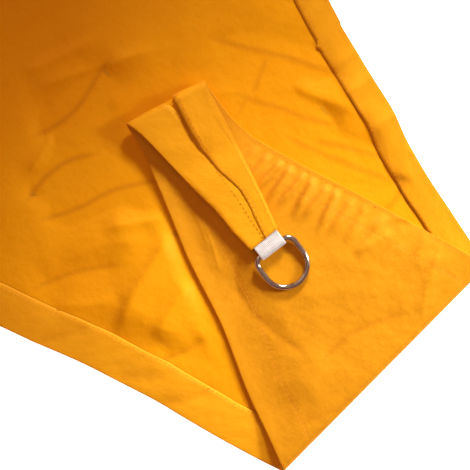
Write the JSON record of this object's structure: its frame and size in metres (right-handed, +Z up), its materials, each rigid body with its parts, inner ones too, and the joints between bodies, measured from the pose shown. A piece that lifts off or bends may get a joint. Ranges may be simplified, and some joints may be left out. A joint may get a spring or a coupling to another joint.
{
  "type": "shade sail",
  "caption": "Triangular shade sail of orange cloth with hollow hemmed edges and a webbing loop and D-ring at each corner, lying flat with a corner folded over.",
  "frame": {"origin": "middle of the bounding box, on the ground that the sail lies on", "axes": "+Z up out of the cloth as it lies, +Y from the folded corner up the length of the sail, +X across it towards the far end of the long edge"},
  "size_m": [1.8638, 2.1028, 0.0219],
  "materials": {
    "orange_cloth": "satin coated polyester",
    "white_webbing": "matt woven webbing",
    "steel": "polished"
  },
  "bodies": {
    "root": {"sail_cloth": "orange_cloth", "webbing_loop_a": "white_webbing", "webbing_loop_b": "white_webbing", "webbing_loop_c": "white_webbing", "d_ring_a": "steel", "d_ring_b": "steel", "d_ring_c": "steel"}
  },
  "joints": []
}
